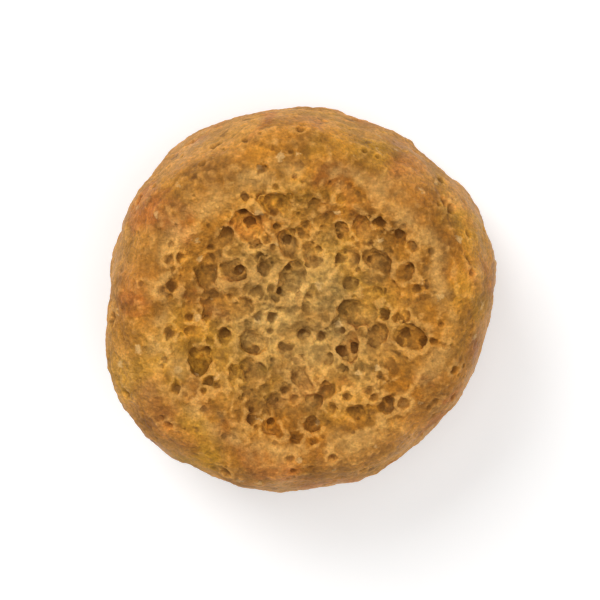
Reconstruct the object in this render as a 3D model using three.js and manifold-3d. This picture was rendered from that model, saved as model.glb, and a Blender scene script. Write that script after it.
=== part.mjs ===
// One piece of dry pet food: puffed cereal dough, pushed out of a round die, sliced by a knife and baked.
// It lies on its lower cut. The upper cut shows open crumb inside the rolled rim of the skin.
// Millimetres, +Z up. The origin is the middle of the base, on the surface that the piece lies on.

import * as THREE from "three";
import { ImprovedNoise } from "three/addons/math/ImprovedNoise.js";
import { mergeVertices } from "three/addons/utils/BufferGeometryUtils.js";
import Module from "manifold-3d";

// Body, before the dough pulled it out of true
const DIAMETER = 12; // across the bulge of the wall
const THICKNESS = 7.3; // from the lower cut to the crest of the rim
const SHOULDER_WIDTH = 1.7; // from the bulge of the wall in to the crest of the rim
const SHOULDER_SQUARENESS = 2.5; // 2 is an ellipse, more gives a straighter wall and tighter shoulders
const RIM_ROLL_WIDTH = 0.35; // from the crest in to the edge of the open crumb
const TOP_DISH_DEPTH = 0.42; // the middle of the crumb below the crest
const SEAT_WIDTH = 0.9; // of the flat ring that the piece lies on
const BASE_DISH_DEPTH = 0.24; // the middle of the lower cut above the seat

// How the dough departs from round: each wave stands out by its height, with a crest at its heading
const OUTLINE_WAVES = [
  { crests: 2, height: 0.15, heading: 29 },
  { crests: 3, height: 0.06, heading: -2 },
  { crests: 4, height: 0.11, heading: 33 },
  { crests: 6, height: 0.04, heading: 28 },
];
const KNIFE_TILT = 2; // degrees, of the upper cut against the lower
const KNIFE_HEADING = 60; // degrees, the side on which the piece is thickest
const LEAN = 0.22; // how far the top has slid across the base
const LEAN_HEADING = 200; // degrees
const LUMP_SIZE = 2.6; // from one low swelling of the skin to the next
const LUMP_HEIGHT = 0.32; // the most that a swelling can stand out or a hollow sink in
const LUMP_FADE = 0.9; // height above the seat at which the lumps reach full size
const HEAP_SIZE = 1.3; // from one low heap of torn crumb to the next, in the two cuts
const HEAP_HEIGHT = 0.34; // the most that a heap can stand out or the gap between two sink in

// Burst bubbles in the two cuts and, fewer and smaller, in the skin of the wall
const CRUMB_PIT_SPACING = 0.98;
const BASE_PIT_SPACING = 1.2;
const WALL_PIT_SPACING = 2.9;
const PIT_WIDTH_LEAST = 0.32;
const PIT_WIDTH_MOST = 1;
const WALL_PIT_WIDTH = 0.4;
const PIT_DEPTH_SHARE = 0.34; // depth below the surface to width
const PIT_STRETCH_MOST = 1.6; // length to width of the longest
const PIT_MOUTH = 3; // how many times taller a bubble is above the skin, so that it stands open, than below
const PIT_SCATTER = 0.5; // how far a pit strays from its place, as a share of the spacing
const WALL_PIT_BAND = 0.62; // share of the thickness that has pits

// The burst bubbles that show most, by heading and by share of the way from the middle to the rim roll
const OPEN_BUBBLES = [
  { heading: 256, reach: 0.92, width: 0.66 },
  { heading: 276, reach: 0.9, width: 0.6 },
  { heading: 177, reach: 0.43, width: 0.7 },
  { heading: 343, reach: 0.62, width: 0.74 },
];

// How finely the body is faceted
const TURN_STEPS = 60;
const SHOULDER_STEPS = 15;
const TOP_STEPS = 9;
const BASE_STEPS = 5;
const PIT_TURN_STEPS = 8;
const PIT_RING_STEPS = 5;
const WELD = 0.002; // corners closer than this become one

const SEED = 7;
const GOLDEN_ANGLE = Math.PI * (3 - Math.sqrt(5));
const BAKED_CRUMB = new THREE.MeshStandardMaterial({
  color: 0xac7838,
  roughness: 0.85,
  metalness: 0,
});

const bulgeRadius = DIAMETER / 2;
const crestRadius = bulgeRadius - SHOULDER_WIDTH;
const crumbRadius = crestRadius - RIM_ROLL_WIDTH;
const seatInnerRadius = crestRadius - SEAT_WIDTH;

const { degToRad, lerp, seededRandom, smoothstep } = THREE.MathUtils;
const swelling = new ImprovedNoise();
const manifold = await Module();
manifold.setup();

// The outside of the piece from the edge of the seat, out round the wall and in to the crest of the rim.
class ShoulderCurve extends THREE.Curve {
  getPoint(share) {
    const turn = (share - 0.5) * Math.PI;
    const power = 2 / SHOULDER_SQUARENESS;
    const out = Math.cos(turn) ** power;
    const up = Math.sign(turn) * Math.abs(Math.sin(turn)) ** power;
    return new THREE.Vector2(crestRadius + SHOULDER_WIDTH * out, (THICKNESS / 2) * (1 + up));
  }
}

// A shallow dish from the axis out to a ring, level at both ends.
function dish(middleHeight, ringRadius, ringHeight) {
  return new THREE.CubicBezierCurve(
    new THREE.Vector2(0, middleHeight),
    new THREE.Vector2(ringRadius / 2, middleHeight),
    new THREE.Vector2(ringRadius - RIM_ROLL_WIDTH / 2, ringHeight),
    new THREE.Vector2(ringRadius, ringHeight),
  );
}

// Half the section of the true body, from the middle of the lower cut to the middle of the upper one.
function section() {
  const base = dish(BASE_DISH_DEPTH, seatInnerRadius, 0).getPoints(BASE_STEPS);
  const side = new ShoulderCurve().getPoints(SHOULDER_STEPS);
  const top = dish(THICKNESS - TOP_DISH_DEPTH, crestRadius, THICKNESS).getPoints(TOP_STEPS);
  return [...base, ...side, ...top.reverse().slice(1)];
}

// How much wider than round the dough is towards a heading, as a factor.
function outline(heading) {
  const stand = ({ crests, height, heading: crest }) =>
    height * Math.cos(crests * (heading - degToRad(crest)));
  return 1 + OUTLINE_WAVES.reduce((sum, wave) => sum + stand(wave), 0) / bulgeRadius;
}

// How far a low swelling stands out, or a hollow sinks in, at a point of the true body.
function swell(point, size, height) {
  return height * swelling.noise(point.x / size, point.y / size, point.z / size);
}

// How far the skin's lumps and the heaps of torn crumb stand out at a point. The seat has neither.
function unevenness(point) {
  const torn = 1 - smoothstep(Math.hypot(point.x, point.y), crumbRadius, crestRadius);
  const lump = swell(point, LUMP_SIZE, LUMP_HEIGHT) * smoothstep(point.z, 0, LUMP_FADE);
  const heap = swell(point, HEAP_SIZE, HEAP_HEIGHT) * smoothstep(point.z, 0, BASE_DISH_DEPTH);
  return lump + torn * heap;
}

// Moves one corner of the true body to where the dough, the knife and the oven left it.
function pullOutOfTrue(point, normal) {
  const rise = point.z / THICKNESS;
  const widening = outline(Math.atan2(point.y, point.x));
  const outwards = unevenness(point);
  point.x *= widening;
  point.y *= widening;
  point.addScaledVector(normal, outwards);
  const knife = degToRad(KNIFE_HEADING);
  const along = point.x * Math.cos(knife) + point.y * Math.sin(knife);
  point.z += rise * along * Math.tan(degToRad(KNIFE_TILT));
  point.x += rise * LEAN * Math.cos(degToRad(LEAN_HEADING));
  point.y += rise * LEAN * Math.sin(degToRad(LEAN_HEADING));
}

// A geometry with only its corners, those that share a place made one.
function merged(geometry) {
  const bare = geometry.clone().deleteAttribute("normal").deleteAttribute("uv");
  return mergeVertices(bare, WELD / 2);
}

// The sliced plug of dough, without its burst bubbles.
function plug() {
  const turned = new THREE.LatheGeometry(section(), TURN_STEPS).rotateX(Math.PI / 2);
  const geometry = merged(turned);
  geometry.computeVertexNormals();
  const { position, normal } = geometry.attributes;
  const point = new THREE.Vector3();
  const outwards = new THREE.Vector3();
  for (let corner = 0; corner < position.count; corner += 1) {
    point.fromBufferAttribute(position, corner);
    outwards.fromBufferAttribute(normal, corner);
    pullOutOfTrue(point, outwards);
    position.setXYZ(corner, point.x, point.y, point.z);
  }
  return geometry;
}

// A geometry's closed solid, with its shared corners merged.
function solidOf(geometry) {
  const { attributes, index } = merged(geometry);
  return new manifold.Manifold(
    new manifold.Mesh({
      numProp: 3,
      vertProperties: attributes.position.array,
      triVerts: new Uint32Array(index.array),
    }),
  );
}

// Draws the upper half of an egg upwards.
function opened(egg) {
  const { position } = egg.attributes;
  for (let corner = 0; corner < position.count; corner += 1) {
    const height = position.getZ(corner);
    position.setZ(corner, height > 0 ? PIT_MOUTH * height : height);
  }
  return egg;
}

// A bubble that burst: an egg set along a line where it meets the skin, whose lower half the pit is.
function bubble(skin, from, towards, width, stretch, turn) {
  const [hit] = new THREE.Raycaster(from, towards).intersectObject(skin);
  const ball = new THREE.SphereGeometry(width / 2, PIT_TURN_STEPS, PIT_RING_STEPS);
  const egg = opened(ball.rotateX(Math.PI / 2)).scale(stretch, 1, 2 * PIT_DEPTH_SHARE).rotateZ(turn);
  const upright = new THREE.Vector3(0, 0, 1);
  egg.applyQuaternion(new THREE.Quaternion().setFromUnitVectors(upright, towards.clone().negate()));
  return egg.translate(...hit.point);
}

// A bubble in one of the two cuts, at a distance and heading from the axis.
function cutBubble(skin, reach, heading, width, stretch, fromAbove) {
  const side = fromAbove ? 1 : -1;
  const height = fromAbove ? 2 * THICKNESS : -THICKNESS;
  const from = new THREE.Vector3(reach * Math.cos(heading), reach * Math.sin(heading), height);
  const turn = seededRandom() * Math.PI;
  return bubble(skin, from, new THREE.Vector3(0, 0, -side), width, stretch, turn);
}

// Bubbles all over one cut, whole inside a radius, laid in a sunflower's spiral and scattered from it.
function cutBubbles(skin, radius, spacing, fromAbove) {
  const count = Math.floor(Math.PI * (radius / spacing) ** 2);
  return Array.from({ length: count }, (_, place) => {
    const width = lerp(PIT_WIDTH_LEAST, PIT_WIDTH_MOST, seededRandom() ** 2);
    const stretch = lerp(1, PIT_STRETCH_MOST, seededRandom());
    const room = radius - (width * stretch) / 2;
    const outwards = PIT_SCATTER * spacing * (seededRandom() - 0.5);
    const reach = Math.min(room, room * Math.sqrt((place + 0.5) / count) + outwards);
    const aside = PIT_SCATTER * spacing * seededRandom();
    const heading = place * GOLDEN_ANGLE + aside / room;
    return cutBubble(skin, reach, heading, width, stretch, fromAbove);
  });
}

// Small bubbles in the skin of the wall, in a rising spiral.
function wallBubbles(skin) {
  const band = WALL_PIT_BAND * THICKNESS;
  const count = Math.floor((Math.PI * DIAMETER * band) / WALL_PIT_SPACING ** 2);
  return Array.from({ length: count }, (_, place) => {
    const heading = place * GOLDEN_ANGLE;
    const height = THICKNESS / 2 + band * ((place + seededRandom()) / count - 0.5);
    const away = new THREE.Vector3(Math.cos(heading), Math.sin(heading), 0);
    const from = away.clone().multiplyScalar(DIAMETER).setZ(height);
    const stretch = lerp(1, PIT_STRETCH_MOST, seededRandom());
    return bubble(skin, from, away.negate(), WALL_PIT_WIDTH, stretch, seededRandom() * Math.PI);
  });
}

// The open bubbles that show most in the upper cut.
function openBubbles(skin) {
  return OPEN_BUBBLES.map(({ heading, reach, width }) =>
    cutBubble(skin, reach * crumbRadius, degToRad(heading), width, 1, true),
  );
}

// The finished piece: the plug less every bubble, with the middle of its base at the origin.
function bakedPiece() {
  seededRandom(SEED);
  const body = plug();
  const skin = new THREE.Mesh(body, BAKED_CRUMB);
  const bubbles = [
    ...openBubbles(skin),
    ...cutBubbles(skin, crumbRadius, CRUMB_PIT_SPACING, true),
    ...cutBubbles(skin, seatInnerRadius, BASE_PIT_SPACING, false),
    ...wallBubbles(skin),
  ];
  const pitted = bubbles.reduce((solid, egg) => solid.subtract(solidOf(egg)), solidOf(body));
  const { vertProperties, triVerts } = pitted.getMesh();
  const geometry = new THREE.BufferGeometry();
  geometry.setAttribute("position", new THREE.BufferAttribute(vertProperties, 3));
  geometry.setIndex(new THREE.BufferAttribute(triVerts, 1));
  const piece = mergeVertices(geometry, WELD);
  piece.computeBoundingBox();
  const middle = piece.boundingBox.getCenter(new THREE.Vector3());
  piece.translate(-middle.x, -middle.y, -piece.boundingBox.min.z);
  piece.computeVertexNormals();
  return piece;
}

const kibble = new THREE.Mesh(bakedPiece(), BAKED_CRUMB);
kibble.name = "kibble";

const part = new THREE.Group();
part.add(kibble);

export default part;
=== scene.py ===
"""Dresses one piece of dry pet food: torn crumb in its cuts, a toasted skin, and a plain white stage."""

from __future__ import annotations

import logging
import math
import random
from dataclasses import dataclass, field
from enum import Enum

import bpy
import numpy as np
from mathutils import Matrix, Vector, noise
from mathutils.kdtree import KDTree


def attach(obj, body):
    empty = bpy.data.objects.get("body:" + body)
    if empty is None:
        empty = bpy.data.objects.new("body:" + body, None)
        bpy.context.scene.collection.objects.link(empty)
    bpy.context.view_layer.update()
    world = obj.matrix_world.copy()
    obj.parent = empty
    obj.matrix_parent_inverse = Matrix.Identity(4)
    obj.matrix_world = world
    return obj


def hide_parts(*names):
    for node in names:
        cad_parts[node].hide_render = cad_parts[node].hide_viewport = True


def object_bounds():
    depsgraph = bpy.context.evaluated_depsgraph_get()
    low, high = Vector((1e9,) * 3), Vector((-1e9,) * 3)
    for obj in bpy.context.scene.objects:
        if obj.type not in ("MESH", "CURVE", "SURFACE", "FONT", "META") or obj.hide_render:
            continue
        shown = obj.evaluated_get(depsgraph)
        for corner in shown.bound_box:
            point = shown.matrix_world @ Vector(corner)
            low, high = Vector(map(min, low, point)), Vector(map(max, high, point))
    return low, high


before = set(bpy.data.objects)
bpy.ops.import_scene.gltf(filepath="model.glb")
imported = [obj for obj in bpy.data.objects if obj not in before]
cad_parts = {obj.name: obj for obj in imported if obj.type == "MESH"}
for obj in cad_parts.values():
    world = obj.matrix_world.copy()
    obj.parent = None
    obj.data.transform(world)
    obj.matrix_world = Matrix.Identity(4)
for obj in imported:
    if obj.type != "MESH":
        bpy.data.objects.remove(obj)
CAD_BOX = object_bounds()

MM_PER_M = 1000.0

# The curve between the colours of a screen and the light that they stand for
SCREEN_WHITE = 255
TOE_END = 0.04045
TOE_SLOPE = 12.92
CURVE_LIFT = 0.055
CURVE_POWER = 2.4

# The sockets of a Mix node that its colours use
MIX_SHARE = 0
MIX_FIRST = 6
MIX_SECOND = 7
MIX_RESULT = 2

Socket = bpy.types.NodeSocket
Colour = tuple[float, float, float, float]
Span = tuple[float, float]
log = logging.getLogger("kibble")


def linear(red: int, green: int, blue: int) -> Colour:
    """Turn a screen colour into the light that it stands for.

    Args:
        red: The red of the screen colour, from 0 to 255.
        green: The green of the screen colour, from 0 to 255.
        blue: The blue of the screen colour, from 0 to 255.

    Returns:
        The linear colour with an alpha of 1.
    """
    shares = (red / SCREEN_WHITE, green / SCREEN_WHITE, blue / SCREEN_WHITE)
    light = [
        share / TOE_SLOPE if share <= TOE_END else ((share + CURVE_LIFT) / (1 + CURVE_LIFT)) ** CURVE_POWER
        for share in shares
    ]
    return (*light, 1.0)


WHITE_LIGHT = linear(SCREEN_WHITE, SCREEN_WHITE, SCREEN_WHITE)


def smooth_step(low: float, high: float, values: np.ndarray) -> np.ndarray:
    """Ease values from 0 at low to 1 at high, level at both ends.

    Args:
        low: Where the result is 0. It may lie above high, and then the result falls.
        high: Where the result is 1.
        values: What is eased.

    Returns:
        The eased values.
    """
    share = np.clip((values - low) / (high - low), 0.0, 1.0)
    return share * share * (3.0 - 2.0 * share)


def select_only(piece: bpy.types.Object) -> None:
    """Make one object the only selected one and the active one.

    Args:
        piece: The object.
    """
    bpy.ops.object.select_all(action="DESELECT")
    piece.select_set(True)
    bpy.context.view_layer.objects.active = piece


def apply_modifier(piece: bpy.types.Object, modifier: bpy.types.Modifier) -> None:
    """Apply a modifier that was just added to an object.

    Args:
        piece: The object that holds it.
        modifier: The modifier.
    """
    select_only(piece)
    bpy.ops.object.modifier_apply(modifier=modifier.name)


def places_of(body: bpy.types.Object) -> np.ndarray:
    """Read where the vertices of a piece are.

    Args:
        body: The piece.

    Returns:
        One row of x, y and z for each vertex.
    """
    flat = np.empty(len(body.data.vertices) * 3)
    body.data.vertices.foreach_get("co", flat)
    return flat.reshape(-1, 3)


def normals_of(body: bpy.types.Object) -> np.ndarray:
    """Read which way the vertices of a piece face.

    Args:
        body: The piece.

    Returns:
        One row of x, y and z for each vertex.
    """
    flat = np.empty(len(body.data.vertices) * 3)
    body.data.vertex_normals.foreach_get("vector", flat)
    return flat.reshape(-1, 3)


class Mark(Enum):
    """What is known of each spot of the piece, in an attribute of this name."""

    CRUMB = "crumb_share"
    PALE = "pale_share"
    WALL = "wall_share"
    CREST = "crest"
    STRAW_SIDE = "straw_side"
    # These two measure the relief; the finish paints shade into its hollows and creases and highlight onto
    # its ridges and grains from them.
    HOLLOW = "hollow"
    GRAIN = "grain"

    def store(self, body: bpy.types.Object, values: np.ndarray) -> None:
        """Store the mark's value for each vertex of a piece.

        Args:
            body: The piece.
            values: One value for each vertex.
        """
        attribute = body.data.attributes.new(self.value, "FLOAT", "POINT")
        attribute.data.foreach_set("value", values.astype(np.float32))


class Zone(Enum):
    """The kinds of surface that a layer of relief can cover, each with a vertex group of this name."""

    CRUMB = "crumb"
    SKIN = "skin"
    ALL = "all_over"

    def store(self, body: bpy.types.Object, weights: np.ndarray) -> None:
        """Store how much each vertex of a piece belongs to the zone.

        Args:
            body: The piece.
            weights: One weight for each vertex, from 0 to 1.
        """
        group = body.vertex_groups.new(name=self.value)
        for place, weight in enumerate(weights):
            group.add([place], float(weight), "REPLACE")

    def weights(self, body: bpy.types.Object) -> list[float]:
        """Read how much each vertex of a piece belongs to the zone.

        Args:
            body: The piece.

        Returns:
            One weight for each vertex, from 0 to 1.
        """
        zone = body.vertex_groups[self.value].index
        return [next((g.weight for g in v.groups if g.group == zone), 0.0) for v in body.data.vertices]


class Grain(Enum):
    """The shapes that a layer of relief can have."""

    SWELLINGS = "CLOUDS"
    CELLS = "VORONOI"


class Push(Enum):
    """The ways in which a layer of relief can move the surface."""

    OUTWARDS = "NORMAL"
    EVERY_WAY = "RGB_TO_XYZ"


@dataclass(frozen=True)
class Relief:
    """One layer of relief in the surface. Sizes are in millimetres."""

    name: str
    grain: Grain
    zone: Zone
    size: float
    depth: float
    octaves: int = 1
    push: Push = Push.OUTWARDS

    def press(self, body: bpy.types.Object) -> None:
        """Press the layer into a piece that is held in millimetres.

        Args:
            body: The piece.
        """
        pattern = bpy.data.textures.new(self.name, self.grain.value)
        pattern.noise_scale = self.size
        if self.grain is Grain.SWELLINGS:
            pattern.noise_depth = self.octaves
            pattern.cloud_type = "COLOR" if self.push is Push.EVERY_WAY else "GRAYSCALE"
        displace = body.modifiers.new(self.name, "DISPLACE")
        displace.texture = pattern
        displace.texture_coords = "LOCAL"
        displace.direction = self.push.value
        displace.strength = self.depth
        displace.vertex_group = self.zone.value
        apply_modifier(body, displace)


RELIEFS = (
    Relief("torn_edges", Grain.SWELLINGS, Zone.CRUMB, size=0.45, depth=0.2, octaves=2, push=Push.EVERY_WAY),
    Relief("wrinkles", Grain.SWELLINGS, Zone.SKIN, size=0.6, depth=0.12, octaves=2, push=Push.EVERY_WAY),
    Relief("blisters", Grain.SWELLINGS, Zone.SKIN, size=1.4, depth=0.15),
    Relief("dimples", Grain.SWELLINGS, Zone.SKIN, size=0.5, depth=0.06, octaves=2),
    Relief("crumb_heaps", Grain.SWELLINGS, Zone.CRUMB, size=0.7, depth=0.12, octaves=2),
    Relief("crumb_cells", Grain.CELLS, Zone.CRUMB, size=0.5, depth=0.1),
    Relief("meal", Grain.SWELLINGS, Zone.ALL, size=0.16, depth=0.06, octaves=2),
)


@dataclass(frozen=True)
class Pores:
    """Small burst bubbles with ragged edges, more of them small than large. Sizes are in millimetres.

    A try whose spot lies outside the zone makes no bubble.
    """

    name: str
    zone: Zone
    tries: int
    width_least: float
    width_most: float
    depth_share: float
    seed: int
    raggedness: float = 0.4
    ragged_size: float = 0.13
    ragged_reach: float = 1.3

    def press(self, body: bpy.types.Object) -> None:
        """Press the bubbles into a piece that is held in millimetres.

        Args:
            body: The piece.
        """
        bowls = self.bowls(body)
        group = body.vertex_groups.new(name=self.name)
        for place, depth in bowls.items():
            group.add([place], depth, "REPLACE")
        push = body.modifiers.new(self.name, "DISPLACE")
        push.mid_level = 0.0
        push.strength = -self.width_most * self.depth_share
        push.vertex_group = self.name
        apply_modifier(body, push)

    def bowls(self, body: bpy.types.Object) -> dict[int, float]:
        """Scatter the bubbles over their zone.

        Args:
            body: The piece.

        Returns:
            How deep in a bubble each vertex inside one lies, as a share of the deepest that it could lie.
        """
        draw = random.Random(self.seed)
        spots = [vertex.co.copy() for vertex in body.data.vertices]
        tree = KDTree(len(spots))
        for place, spot in enumerate(spots):
            tree.insert(spot, place)
        tree.balance()
        weights = self.zone.weights(body)
        bowls: dict[int, float] = {}
        for _ in range(self.tries):
            middle = draw.randrange(len(spots))
            size, chance = draw.random() ** 2, draw.random()
            if chance > weights[middle]:
                continue
            reach = (self.width_least + size * (self.width_most - self.width_least)) / 2
            for spot, place, gap in tree.find_range(spots[middle], reach * self.ragged_reach):
                ragged = gap * (1 + self.raggedness * noise.noise(spot / self.ragged_size))
                depth = 2 * reach / self.width_most * max(0.0, 1 - (ragged / reach) ** 2)
                bowls[place] = max(bowls.get(place, 0.0), depth)
        return bowls


PORES = (
    Pores("wall_pores", Zone.SKIN, 420, width_least=0.12, width_most=0.4, depth_share=0.45, seed=3),
    Pores("crumb_pores", Zone.CRUMB, 1500, width_least=0.12, width_most=0.44, depth_share=0.5, seed=5),
)


@dataclass(frozen=True)
class Hollows:
    """The hollows and humps of one size, as a mark of the piece."""

    mark: Mark
    steps: int
    depth: float

    def find(self, body: bpy.types.Object) -> None:
        """Mark how far each vertex lies below, or stands above, the surface round it.

        The surface round it reaches as many vertices away as there are steps, and a vertex that lies
        below it by the depth, in millimetres, is marked 1.

        Args:
            body: The piece.
        """
        places = places_of(body)
        edges = np.empty(len(body.data.edges) * 2, dtype=np.int64)
        body.data.edges.foreach_get("vertices", edges)
        ends = edges.reshape(-1, 2)
        count = np.bincount(edges, minlength=len(places))[:, None]
        smoothed = places.copy()
        for _ in range(self.steps):
            sums = np.zeros_like(smoothed)
            np.add.at(sums, ends[:, 0], smoothed[ends[:, 1]])
            np.add.at(sums, ends[:, 1], smoothed[ends[:, 0]])
            smoothed = sums / count
        below = ((smoothed - places) * normals_of(body)).sum(axis=1)
        self.mark.store(body, below / self.depth)


# Painted shade and highlight: the finish darkens the hollows and creases these find and lightens the humps
# and ridges.
HOLLOWS = (
    Hollows(Mark.HOLLOW, steps=18, depth=0.055),
    Hollows(Mark.GRAIN, steps=3, depth=0.016),
)


@dataclass(frozen=True)
class Blots:
    """A pattern of soft blots, of a noise that is eased between two values. The size is in millimetres."""

    size: float
    layers: float
    edge: Span
    warp: float = 0.0
    cover: float = 1.0


@dataclass(frozen=True)
class Specks:
    """Scattered specks with ragged edges. The spacing is in millimetres, and the radii are shares of it.

    A speck whose radius falls below 0 is left out.
    """

    spacing: float
    radii: Span
    cover: float
    raggedness: float = 0.6
    ragged_share: float = 0.25
    ragged_layers: float = 2.0
    edge: Span = (0.0, 0.1)


class Sheet:
    """The node tree of one material, with short ways to add its nodes."""

    def __init__(self, owner: bpy.types.Material | bpy.types.World) -> None:
        """Empty the tree.

        Args:
            owner: The material or world that the sheet fills.
        """
        self.tree = owner.node_tree
        self.tree.nodes.clear()

    def add(self, kind: str, inputs: dict | None = None, **settings: object) -> bpy.types.Node:
        """Add a node.

        Args:
            kind: The node's type, without its ShaderNode prefix.
            inputs: What goes into its sockets, by name or number: a value, or a socket to link.
            **settings: The node's own settings.

        Returns:
            The node.
        """
        node = self.tree.nodes.new("ShaderNode" + kind)
        for name, value in settings.items():
            setattr(node, name, value)
        for key, value in (inputs or {}).items():
            if isinstance(value, bpy.types.NodeSocket):
                self.tree.links.new(value, node.inputs[key])
            else:
                node.inputs[key].default_value = value
        return node

    def read(self, mark: Mark) -> Socket:
        """Read a mark of the piece.

        Args:
            mark: The mark.

        Returns:
            Its value.
        """
        return self.add("Attribute", attribute_name=mark.value).outputs["Fac"]

    def maths(self, operation: str, *values: Socket | float) -> Socket:
        """Add a Math node.

        Args:
            operation: What it does.
            *values: Its numbers or sockets, in order.

        Returns:
            Its result.
        """
        return self.add("Math", dict(enumerate(values)), operation=operation).outputs[0]

    def times(self, first: Socket, second: Socket | float) -> Socket:
        """Multiply two values.

        Args:
            first: The first value.
            second: The second value.

        Returns:
            Their product.
        """
        return self.maths("MULTIPLY", first, second)

    def eased(self, value: Socket, edge: Span) -> Socket:
        """Ease a value from 0 to 1.

        Args:
            value: The value.
            edge: Where the result is 0, and where it is 1.

        Returns:
            The eased value.
        """
        inputs = {"Value": value, "From Min": edge[0], "From Max": edge[1]}
        return self.add("MapRange", inputs, interpolation_type="SMOOTHSTEP").outputs[0]

    def ramp(self, value: Socket, ends: tuple[Socket | float, float], start: Span = (0.0, 1.0)) -> Socket:
        """Lead a value evenly from one end to the other.

        Args:
            value: The value.
            ends: The result at the start's first value and at its second.
            start: The values between which it is led.

        Returns:
            The result.
        """
        inputs = {"Value": value, "From Min": start[0], "From Max": start[1]}
        return self.add("MapRange", {**inputs, "To Min": ends[0], "To Max": ends[1]}).outputs[0]

    def blend(self, share: Socket | float, first: Socket | Colour, second: Socket | Colour) -> Socket:
        """Mix two colours.

        Args:
            share: How much of the second colour shows.
            first: The first colour.
            second: The second colour.

        Returns:
            The mixed colour.
        """
        inputs = {MIX_SHARE: share, MIX_FIRST: first, MIX_SECOND: second}
        return self.add("Mix", inputs, data_type="RGBA").outputs[MIX_RESULT]

    def shade(self, colour: Socket, factor: Socket) -> Socket:
        """Make a colour lighter or darker.

        Args:
            colour: The colour.
            factor: How many times lighter it becomes.

        Returns:
            The new colour.
        """
        grey = self.add("CombineColor", {0: factor, 1: factor, 2: factor}).outputs[0]
        inputs = {MIX_SHARE: 1.0, MIX_FIRST: colour, MIX_SECOND: grey}
        return self.add("Mix", inputs, data_type="RGBA", blend_type="MULTIPLY").outputs[MIX_RESULT]

    def swirl(self, place: Socket, size: float, layers: float, warp: float = 0.0) -> Socket:
        """Add a noise.

        Args:
            place: Where it is read, in millimetres.
            size: From one blot to the next, in millimetres.
            layers: How many finer layers it has.
            warp: How much it is distorted.

        Returns:
            Its value.
        """
        inputs = {"Vector": place, "Scale": 1 / size, "Detail": layers, "Distortion": warp}
        return self.add("TexNoise", inputs).outputs[0]

    def blots(self, place: Socket, blots: Blots) -> Socket:
        """Add a pattern of soft blots.

        Args:
            place: Where it is read, in millimetres.
            blots: The pattern.

        Returns:
            How much of a blot shows: its cover on a blot and 0 off it.
        """
        pattern = self.swirl(place, blots.size, blots.layers, blots.warp)
        return self.times(self.eased(pattern, blots.edge), blots.cover)

    def specks(self, place: Socket, specks: Specks) -> Socket:
        """Add scattered specks of unlike sizes.

        Args:
            place: Where they are read, in millimetres.
            specks: The specks.

        Returns:
            How much of a speck shows: its cover on a speck and 0 off it.
        """
        cells = self.add("TexVoronoi", {"Vector": place, "Scale": 1 / specks.spacing})
        draw = self.add("SeparateColor", {0: cells.outputs["Color"]}).outputs[0]
        radius = self.ramp(draw, specks.radii)
        rough = self.swirl(place, specks.spacing * specks.ragged_share, specks.ragged_layers)
        ragged = self.maths("MULTIPLY_ADD", rough, specks.raggedness, -specks.raggedness / 2)
        away = self.maths("ADD", cells.outputs["Distance"], ragged)
        return self.times(self.eased(self.maths("SUBTRACT", radius, away), specks.edge), specks.cover)


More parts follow.
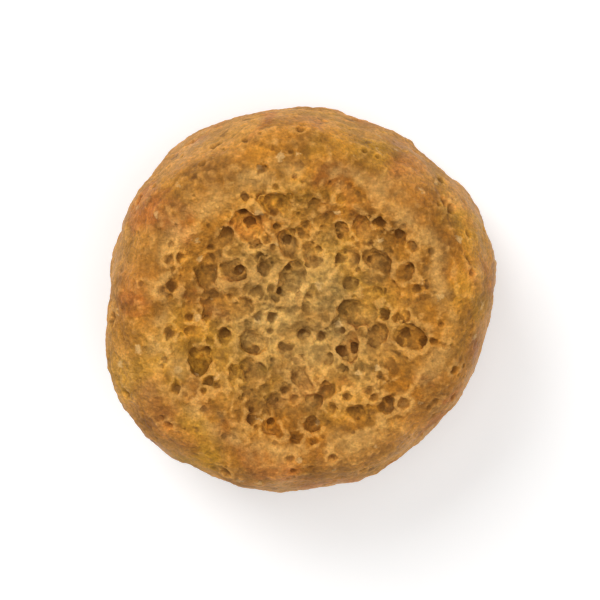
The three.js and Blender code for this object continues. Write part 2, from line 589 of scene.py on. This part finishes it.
@dataclass(frozen=True)
class BakedCrumb:
    """The finish of baked cereal dough: toasted skin, paler torn crumb and ground meal, with painted shade
    in its hollows and creases and painted highlight on its ridges, its grains and the crest of its rim.

    Sizes are in millimetres. A cover is how much of a colour shows at most, and an edge holds the values
    of a mark where a colour begins to show and where all of it does. Shades are how many times lighter the
    colour becomes at the two ends of a span. A pair that is named for two places holds the value at each.
    """

    name: str = "baked_crumb"
    skin_light: Colour = linear(200, 134, 40)
    skin_dark: Colour = linear(160, 98, 16)
    toast: Colour = linear(178, 92, 34)
    straw: Colour = linear(190, 138, 30)
    wall: Colour = linear(217, 156, 80)
    crumb_light: Colour = linear(210, 164, 88)
    crumb_dark: Colour = linear(164, 120, 54)
    # Painted shade in the hollows.
    hollow: Colour = linear(114, 66, 8)
    husk: Colour = linear(106, 62, 12)
    grit: Colour = linear(226, 184, 118)
    # Painted highlight on the ridges; on the crest of the rim, a real rub and a painted highlight.
    highlight_and_rub: Colour = linear(222, 168, 90)

    skin_patches: Blots = Blots(size=2.4, layers=3.0, edge=(0.3, 0.7), warp=0.6)
    wall_cover: float = 0.8
    crumb_patches: Blots = Blots(size=0.9, layers=4.0, edge=(0.34, 0.66), warp=0.4)

    toast_patches: Blots = Blots(size=1.9, layers=3.0, edge=(0.5, 0.68), warp=0.8)
    toast_on_skin_and_crumb: Span = (0.62, 0.12)
    toast_off_and_on_straw_side: Span = (1.0, 0.4)
    straw_patches: Blots = Blots(size=2.3, layers=3.0, edge=(0.46, 0.64), warp=0.8)
    straw_on_skin_and_crumb: Span = (0.6, 0.25)
    straw_off_and_on_straw_side: Span = (0.1, 1.1)

    mottles: tuple[Blots, ...] = (
        Blots(size=0.2, layers=3.0, edge=(0.3, 0.7), cover=0.3),
        Blots(size=0.75, layers=2.0, edge=(0.32, 0.68), cover=0.44),
        Blots(size=1.5, layers=2.0, edge=(0.36, 0.64), cover=0.26),
    )
    mottle_shades: Span = (0.52, 1.44)
    mottle_off_and_on_wall: Span = (1.0, 0.5)

    husks: Specks = Specks(spacing=0.75, radii=(-0.3, 0.3), cover=0.6)
    grits: Specks = Specks(spacing=0.6, radii=(-0.3, 0.28), cover=0.55)

    # Painted highlight on the ridges.
    ridge_highlight_edge: Span = (-0.1, -0.9)
    ridge_highlight_cover: float = 0.4
    # Painted shade in the hollows.
    hollow_shade_edge: Span = (0.2, 2.2)
    hollow_shade_cover: float = 0.7
    # The crest of the rim: partly a real rub, partly a painted highlight.
    crest_highlight_and_rub_patches: Blots = Blots(size=0.9, layers=3.0, edge=(0.34, 0.6), warp=0.5, cover=0.62)

    # Painted shade in the creases between the grains and painted highlight on the grains.
    crease_span: Span = (-1.0, 1.0)
    painted_crease_shades: Span = (1.25, 0.75)
    flour_size: float = 0.07
    flour_layers: float = 2.0
    flour_span: Span = (0.3, 0.7)
    flour_shades: Span = (0.82, 1.18)

    grease_patches: Blots = Blots(size=1.6, layers=3.0, edge=(0.4, 0.7))
    roughness_of_dry_and_greasy_skin: Span = (0.72, 0.46)
    roughness_of_crumb: float = 0.86
    gloss: float = 0.3
    glow_share: float = 0.08
    glow_by_colour: tuple[float, float, float] = (1.0, 0.5, 0.2)
    glow_depth: float = 0.3
    powder_size: float = 0.13
    powder_layers: float = 5.0
    powder_height: float = 0.13

    def make(self) -> bpy.types.Material:
        """Build the material, which reads the marks of its piece.

        Returns:
            The material.
        """
        material = bpy.data.materials.new(self.name)
        material.use_nodes = True
        sheet = Sheet(material)
        coordinates = sheet.add("TexCoord").outputs["Object"]
        scale = (MM_PER_M, MM_PER_M, MM_PER_M)
        place = sheet.add("Mapping", {"Vector": coordinates, "Scale": scale}).outputs[0]
        pale, wall = sheet.read(Mark.PALE), sheet.read(Mark.WALL)
        colour = self.dough(sheet, place, pale, wall)
        colour = self.browned(sheet, place, pale, colour)
        colour = self.mottled(sheet, place, wall, colour)
        colour = self.painted_light_and_rub(sheet, place, self.flecked(sheet, place, colour))
        shader = sheet.add("BsdfPrincipled", {
            "Base Color": self.crease_shaded_and_dusted(sheet, place, colour),
            "Roughness": self.roughness(sheet, place),
            "Normal": self.fine_relief(sheet, place),
            "Specular IOR Level": self.gloss,
            "Subsurface Weight": self.glow_share,
            "Subsurface Radius": self.glow_by_colour,
            "Subsurface Scale": self.glow_depth / MM_PER_M,
        })
        sheet.add("OutputMaterial", {"Surface": shader.outputs[0]})
        return material

    def dough(self, sheet: Sheet, place: Socket, pale: Socket, wall: Socket) -> Socket:
        """Mix the skin, the paler skin of the wall and the palest crumb, in the middle of a cut.

        Args:
            sheet: The material's nodes.
            place: Where the patterns are read, in millimetres.
            pale: 1 in the middle of a cut, falling to 0 on the skin.
            wall: 1 on the wall between the two shoulders, and 0 elsewhere.

        Returns:
            The colour.
        """
        skin = sheet.blend(sheet.blots(place, self.skin_patches), self.skin_dark, self.skin_light)
        skin = sheet.blend(sheet.times(wall, self.wall_cover), skin, self.wall)
        crumb = sheet.blend(sheet.blots(place, self.crumb_patches), self.crumb_dark, self.crumb_light)
        return sheet.blend(pale, skin, crumb)

    def browned(self, sheet: Sheet, place: Socket, pale: Socket, colour: Socket) -> Socket:
        """Toast the dough in patches, and leave it straw-coloured in others, more so on two of its sides.

        Args:
            sheet: The material's nodes.
            place: Where the patterns are read, in millimetres.
            pale: 1 in the middle of a cut, falling to 0 on the skin.
            colour: The colour before.

        Returns:
            The colour after.
        """
        side = sheet.read(Mark.STRAW_SIDE)
        toast = sheet.blots(place, self.toast_patches)
        toast = sheet.times(toast, sheet.ramp(side, self.toast_off_and_on_straw_side))
        toast = sheet.times(toast, sheet.ramp(pale, self.toast_on_skin_and_crumb))
        colour = sheet.blend(toast, colour, self.toast)
        straw = sheet.blots(place, self.straw_patches)
        straw = sheet.times(straw, sheet.ramp(side, self.straw_off_and_on_straw_side))
        straw = sheet.times(straw, sheet.ramp(pale, self.straw_on_skin_and_crumb))
        return sheet.blend(straw, colour, self.straw)

    def mottled(self, sheet: Sheet, place: Socket, wall: Socket, colour: Socket) -> Socket:
        """Mottle the colour at several sizes, less on the wall.

        Args:
            sheet: The material's nodes.
            place: Where the patterns are read, in millimetres.
            wall: 1 on the wall between the two shoulders, and 0 elsewhere.
            colour: The colour before.

        Returns:
            The colour after.
        """
        mottle: Socket | float = 0.0
        for blots in self.mottles:
            mottle = sheet.maths("ADD", sheet.blots(place, blots), mottle)
        change = sheet.maths("SUBTRACT", sheet.ramp(mottle, self.mottle_shades), 1.0)
        strength = sheet.ramp(wall, self.mottle_off_and_on_wall)
        return sheet.shade(colour, sheet.maths("MULTIPLY_ADD", change, strength, 1.0))

    def flecked(self, sheet: Sheet, place: Socket, colour: Socket) -> Socket:
        """Scatter dark bits of husk and pale bits of grain.

        Args:
            sheet: The material's nodes.
            place: Where the patterns are read, in millimetres.
            colour: The colour before.

        Returns:
            The colour after.
        """
        colour = sheet.blend(sheet.specks(place, self.husks), colour, self.husk)
        return sheet.blend(sheet.specks(place, self.grits), colour, self.grit)

    def painted_light_and_rub(self, sheet: Sheet, place: Socket, colour: Socket) -> Socket:
        """Paint highlight onto the ridges and shade into the hollows, and lighten the crest of the rim,
        partly as a real rub and partly as a painted highlight.

        Args:
            sheet: The material's nodes.
            place: Where the patterns are read, in millimetres.
            colour: The colour before.

        Returns:
            The colour after.
        """
        hollow = sheet.read(Mark.HOLLOW)
        # Painted highlight on the ridges.
        ridges = sheet.times(sheet.eased(hollow, self.ridge_highlight_edge), self.ridge_highlight_cover)
        colour = sheet.blend(ridges, colour, self.highlight_and_rub)
        # Painted shade in the hollows.
        hollows = sheet.times(sheet.eased(hollow, self.hollow_shade_edge), self.hollow_shade_cover)
        colour = sheet.blend(hollows, colour, self.hollow)
        # The crest of the rim: partly a real rub, partly a painted highlight.
        crest_highlight_and_rub = sheet.times(sheet.read(Mark.CREST), sheet.blots(place, self.crest_highlight_and_rub_patches))
        return sheet.blend(crest_highlight_and_rub, colour, self.highlight_and_rub)

    def crease_shaded_and_dusted(self, sheet: Sheet, place: Socket, colour: Socket) -> Socket:
        """Paint shade into the creases between the grains and highlight onto the grains, and dust both with
        flour.

        Args:
            sheet: The material's nodes.
            place: Where the patterns are read, in millimetres.
            colour: The colour before.

        Returns:
            The colour after.
        """
        # Painted shade in the creases and painted highlight on the grains.
        painted_crease_light = sheet.ramp(sheet.read(Mark.GRAIN), self.painted_crease_shades, self.crease_span)
        flour = sheet.swirl(place, self.flour_size, self.flour_layers)
        flour = sheet.ramp(flour, self.flour_shades, self.flour_span)
        return sheet.shade(colour, sheet.times(painted_crease_light, flour))

    def roughness(self, sheet: Sheet, place: Socket) -> Socket:
        """Make the skin a little greasier than the crumb, in patches.

        Args:
            sheet: The material's nodes.
            place: Where the patterns are read, in millimetres.

        Returns:
            The roughness.
        """
        grease = sheet.blots(place, self.grease_patches)
        skin = sheet.ramp(grease, self.roughness_of_dry_and_greasy_skin)
        return sheet.ramp(sheet.read(Mark.CRUMB), (skin, self.roughness_of_crumb))

    def fine_relief(self, sheet: Sheet, place: Socket) -> Socket:
        """Make the relief that is finer than the mesh.

        Args:
            sheet: The material's nodes.
            place: Where the patterns are read, in millimetres.

        Returns:
            The normal.
        """
        powder = sheet.swirl(place, self.powder_size, self.powder_layers)
        inputs = {"Height": powder, "Strength": 1.0, "Distance": self.powder_height / MM_PER_M}
        return sheet.add("Bump", inputs).outputs[0]


@dataclass
class Kibble:
    """The whole piece. Sizes are in millimetres and angles in degrees.

    The open crumb of a cut ends crumb_reach from the axis, and the wall ends wall_rise above and below the
    middle, each at a wandering edge that is twice crumb_edge or wall_edge wide. Slopes say how level the
    surface has to be. The ring that the piece lies on is kept flat.
    """

    node: str = "kibble"
    name: str = "baked_kibble"
    finish: BakedCrumb = field(default_factory=BakedCrumb)

    merge_distance: float = 0.002
    voxel: float = 0.058
    softening: float = 0.5
    softening_rounds: int = 4
    triangles_most: int = 192000

    crumb_reach: float = 4.2
    crumb_edge: float = 0.8
    crumb_slopes: Span = (0.2, 0.6)
    edge_wander: float = 0.6
    edge_wander_size: float = 1.1
    pale_span: Span = (4.4, 0.6)
    crest_reach: float = 4.25
    crest_width: float = 0.65
    crest_slopes: Span = (0.3, 0.8)
    wall_rise: float = 2.9
    wall_edge: float = 0.8
    straw_heading: float = 47.0

    seat_reach: float = 3.85
    seat_width: float = 0.9
    seat_margin: float = 0.45

    def build(self) -> bpy.types.Object:
        """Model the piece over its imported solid.

        Returns:
            The finished piece, in metres.
        """
        body = self.copy_of_solid()
        self.even_out(body)
        self.mark_zones(body)
        for layer in (*RELIEFS, *PORES):
            layer.press(body)
        for hollows in HOLLOWS:
            hollows.find(body)
        self.thin_out(body)
        self.lay_flat(body)
        body.vertex_groups.clear()
        body.data.transform(Matrix.Scale(1 / MM_PER_M, 4))
        self.dress(body)
        return body

    def dress(self, body: bpy.types.Object) -> None:
        """Shade the piece smooth and give it its finish.

        Args:
            body: The piece.
        """
        select_only(body)
        bpy.ops.object.shade_smooth()
        body.data.materials.append(self.finish.make())

    def copy_of_solid(self) -> bpy.types.Object:
        """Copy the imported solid, in millimetres, with its corners merged.

        Returns:
            The copy, as an object of its own.
        """
        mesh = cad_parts[self.node].data.copy()
        mesh.materials.clear()
        mesh.transform(Matrix.Scale(MM_PER_M, 4))
        body = bpy.data.objects.new(self.name, mesh)
        bpy.context.scene.collection.objects.link(body)
        select_only(body)
        bpy.ops.object.mode_set(mode="EDIT")
        bpy.ops.mesh.select_all(action="SELECT")
        bpy.ops.mesh.remove_doubles(threshold=self.merge_distance)
        bpy.ops.object.mode_set(mode="OBJECT")
        return body

    def even_out(self, body: bpy.types.Object) -> None:
        """Give the piece a fine, even mesh, without the facets of the solid.

        Args:
            body: The piece.
        """
        remesh = body.modifiers.new("even_mesh", "REMESH")
        remesh.mode = "VOXEL"
        remesh.voxel_size = self.voxel
        apply_modifier(body, remesh)
        soften = body.modifiers.new("no_facets", "SMOOTH")
        soften.factor = self.softening
        soften.iterations = self.softening_rounds
        apply_modifier(body, soften)

    def mark_zones(self, body: bpy.types.Object) -> None:
        """Mark what each spot of the piece is, for its finish and for its relief.

        Args:
            body: The piece.
        """
        places = places_of(body)
        height = places[:, 2]
        level = np.abs(normals_of(body)[:, 2])
        reach = np.hypot(places[:, 0], places[:, 1])
        wander = np.array([noise.noise(Vector(place) / self.edge_wander_size) for place in places])
        wander *= self.edge_wander
        crumb = self.crumb(reach + wander, level)
        Mark.CRUMB.store(body, crumb)
        Mark.PALE.store(body, crumb * smooth_step(*self.pale_span, reach + wander))
        Mark.WALL.store(body, self.wall(height, wander) * (1 - crumb))
        Mark.CREST.store(body, self.crest(reach + wander / 2, level))
        Mark.STRAW_SIDE.store(body, self.straw_side(places))
        free = self.free_of_seat(reach, height)
        Zone.CRUMB.store(body, crumb * free)
        Zone.SKIN.store(body, (1 - crumb) * free)
        Zone.ALL.store(body, free)

    def crumb(self, reach: np.ndarray, level: np.ndarray) -> np.ndarray:
        """Tell the open crumb of the two cuts from the skin round it.

        Args:
            reach: How far each vertex is from the axis, with the edge's wander.
            level: How level the surface is at each vertex, from 0 to 1.

        Returns:
            1 on crumb and 0 on skin, for each vertex.
        """
        outside, inside = self.crumb_reach + self.crumb_edge, self.crumb_reach - self.crumb_edge
        return smooth_step(outside, inside, reach) * smooth_step(*self.crumb_slopes, level)

    def wall(self, height: np.ndarray, wander: np.ndarray) -> np.ndarray:
        """Tell the wall between the two shoulders from the rest.

        Args:
            height: How high each vertex is.
            wander: How far the wall's edges wander there.

        Returns:
            1 on the wall and 0 elsewhere, for each vertex.
        """
        middle = (height.max() + height.min()) / 2
        outside, inside = self.wall_rise + self.wall_edge, self.wall_rise - self.wall_edge
        return smooth_step(outside, inside, np.abs(height - middle) + wander)

    def crest(self, reach: np.ndarray, level: np.ndarray) -> np.ndarray:
        """Tell the crest of the rolled rim from the rest.

        Args:
            reach: How far each vertex is from the axis, with the crest's wander.
            level: How level the surface is at each vertex, from 0 to 1.

        Returns:
            1 on the crest and 0 elsewhere, for each vertex.
        """
        away = np.abs(reach - self.crest_reach)
        return smooth_step(self.crest_width, 0.0, away) * smooth_step(*self.crest_slopes, level)

    def straw_side(self, places: np.ndarray) -> np.ndarray:
        """Tell the two opposite sides that stayed straw-coloured from those that were toasted.

        Args:
            places: Where the vertices are.

        Returns:
            1 on the straw-coloured sides and 0 on the toasted ones, for each vertex.
        """
        heading = np.arctan2(places[:, 1], places[:, 0]) - math.radians(self.straw_heading)
        return (1 + np.cos(2 * heading)) / 2

    def free_of_seat(self, reach: np.ndarray, height: np.ndarray) -> np.ndarray:
        """Tell the flat ring that the piece lies on from the rest.

        Args:
            reach: How far each vertex is from the axis.
            height: How high each vertex is.

        Returns:
            0 on the ring and 1 beyond the margin round it, for each vertex.
        """
        beside = np.maximum(np.abs(reach - self.seat_reach) - self.seat_width / 2, 0)
        return smooth_step(0.0, self.seat_margin, np.hypot(beside, height))

    def thin_out(self, body: bpy.types.Object) -> None:
        """Take out the triangles that the form needs least.

        Args:
            body: The piece.
        """
        now = sum(len(face.vertices) - 2 for face in body.data.polygons)
        thinner = body.modifiers.new("fewer_faces", "DECIMATE")
        thinner.ratio = min(1.0, self.triangles_most / now)
        apply_modifier(body, thinner)

    def lay_flat(self, body: bpy.types.Object) -> None:
        """Press what would reach below the surface that the piece lies on up to it.

        Args:
            body: The piece.
        """
        places = places_of(body)
        places[:, 2] = np.maximum(places[:, 2], 0.0)
        body.data.vertices.foreach_set("co", places.ravel())
        body.data.update()


@dataclass(frozen=True)
class Lamp:
    """A soft square lamp that looks at the piece. Sizes are in metres and angles in degrees."""

    name: str
    azimuth: float
    elevation: float
    distance: float
    width: float
    power: float

    def place(self, target: Vector) -> None:
        """Put the lamp in the scene.

        Args:
            target: What it looks at.
        """
        turn, rise = math.radians(self.azimuth), math.radians(self.elevation)
        away = Vector((math.cos(turn) * math.cos(rise), math.sin(turn) * math.cos(rise), math.sin(rise)))
        heading = away.to_track_quat("Z", "Y").to_euler()
        bpy.ops.object.light_add(type="AREA", location=target + away * self.distance, rotation=heading)
        lamp = bpy.context.object
        lamp.name = self.name
        lamp.data.size = self.width
        lamp.data.energy = self.power


@dataclass(frozen=True)
class WhiteSurface:
    """The finish of the floor. It keeps the shadow of the piece near it and is plain white further off.

    The lift is the light that is added where the floor is seen, and fading is where its shadow begins to
    fade and where it has gone, in metres from the middle.
    """

    name: str = "white_surface"
    paint: Colour = linear(242, 242, 242)
    lift: float = 0.27
    fading: Span = (0.02, 0.045)

    def make(self) -> bpy.types.Material:
        """Build the material.

        Returns:
            The material.
        """
        material = bpy.data.materials.new(self.name)
        material.use_nodes = True
        sheet = Sheet(material)
        seen = seen_directly(sheet)
        paint = sheet.add("BsdfDiffuse", {"Color": self.paint}).outputs[0]
        glow = {"Color": WHITE_LIGHT, "Strength": sheet.times(seen, self.lift)}
        near = sheet.add("AddShader", {0: paint, 1: sheet.add("Emission", glow).outputs[0]}).outputs[0]
        white = sheet.add("Emission", {"Color": WHITE_LIGHT}).outputs[0]
        spot = sheet.add("TexCoord").outputs["Object"]
        away = sheet.add("VectorMath", {0: spot}, operation="LENGTH").outputs["Value"]
        far = sheet.times(sheet.eased(away, self.fading), seen)
        surface = sheet.add("MixShader", {0: far, 1: near, 2: white}).outputs[0]
        sheet.add("OutputMaterial", {"Surface": surface})
        return material


def seen_directly(sheet: Sheet) -> Socket:
    """Tell rays that the camera sees, itself or in gloss or glass, from those that light things.

    Args:
        sheet: The nodes.

    Returns:
        1 for a ray that is seen and 0 for one that lights.
    """
    path = sheet.add("LightPath").outputs
    seen = sheet.maths("MAXIMUM", path["Is Camera Ray"], path["Is Glossy Ray"])
    return sheet.maths("MAXIMUM", seen, path["Is Transmission Ray"])


@dataclass
class Stage:
    """The white surface, the sky, the lamps and the camera. Sizes are in metres and angles in degrees.

    The lens and the sensor are in millimetres. The piece takes frame_share of the frame's width, and the
    tilt is how far from straight above the camera stands.
    """

    floor_width: float = 4.0
    floor_finish: WhiteSurface = field(default_factory=WhiteSurface)
    sky_light: float = 0.3
    sky_seen: float = 1.0
    lamps: tuple[Lamp, ...] = (
        Lamp("key_lamp", azimuth=125.0, elevation=52.0, distance=0.16, width=0.07, power=0.125),
        Lamp("fill_lamp", azimuth=-40.0, elevation=48.0, distance=0.18, width=0.12, power=0.05),
        Lamp("top_lamp", azimuth=60.0, elevation=82.0, distance=0.2, width=0.1, power=0.105),
    )
    lens: float = 150.0
    sensor: float = 36.0
    frame_share: float = 0.64
    tilt: float = 6.5
    clip_share: float = 0.01

    def build(self) -> None:
        """Make the floor, the sky and the lamps, and point the camera."""
        self.lay_floor()
        self.light_sky()
        low, high = (Vector(corner) for corner in CAD_BOX)
        for lamp in self.lamps:
            lamp.place((low + high) / 2)
        self.aim_camera((low + high) / 2, high.x - low.x)

    def lay_floor(self) -> None:
        """Lay the white surface under the piece."""
        bpy.ops.object.select_all(action="DESELECT")
        bpy.ops.mesh.primitive_plane_add(size=self.floor_width)
        floor = bpy.context.object
        floor.name = self.floor_finish.name
        floor.data.materials.append(self.floor_finish.make())

    def light_sky(self) -> None:
        """Make the sky even and soft, and white where it is seen."""
        world = bpy.data.worlds.new("sky")
        bpy.context.scene.world = world
        world.use_nodes = True
        sheet = Sheet(world)
        strength = sheet.ramp(seen_directly(sheet), (self.sky_light, self.sky_seen))
        sky = sheet.add("Background", {"Color": WHITE_LIGHT, "Strength": strength})
        sheet.add("OutputWorld", {"Surface": sky.outputs[0]})

    def aim_camera(self, target: Vector, width: float) -> None:
        """Look down on the piece, a little from its far side, as one looks at the near edge of a heap.

        Args:
            target: The middle of the piece.
            width: The width of the piece.
        """
        distance = width / self.frame_share * self.lens / self.sensor
        tilt = math.radians(self.tilt)
        away = Vector((0.0, math.sin(tilt), math.cos(tilt)))
        bpy.ops.object.camera_add(location=target + away * distance, rotation=(-tilt, 0.0, 0.0))
        camera = bpy.context.object
        camera.data.lens = self.lens
        camera.data.sensor_width = self.sensor
        camera.data.clip_start = distance * self.clip_share
        camera.data.clip_end = self.floor_width * 2
        bpy.context.scene.camera = camera


def main() -> None:
    """Build the stage and the piece, attach the piece to the root body, and hide the imported solid."""
    logging.basicConfig(level=logging.INFO, format="%(message)s")
    bpy.context.scene.view_settings.view_transform = "Standard"
    stage = Stage()
    stage.build()
    log.info("stage: floor, sky, %d lamps and camera", len(stage.lamps))
    kibble = Kibble()
    body = kibble.build()
    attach(body, "root")
    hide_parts(kibble.node)
    log.info("%s: %d triangles", body.name, sum(len(face.vertices) - 2 for face in body.data.polygons))


if __name__ == "__main__":
    main()
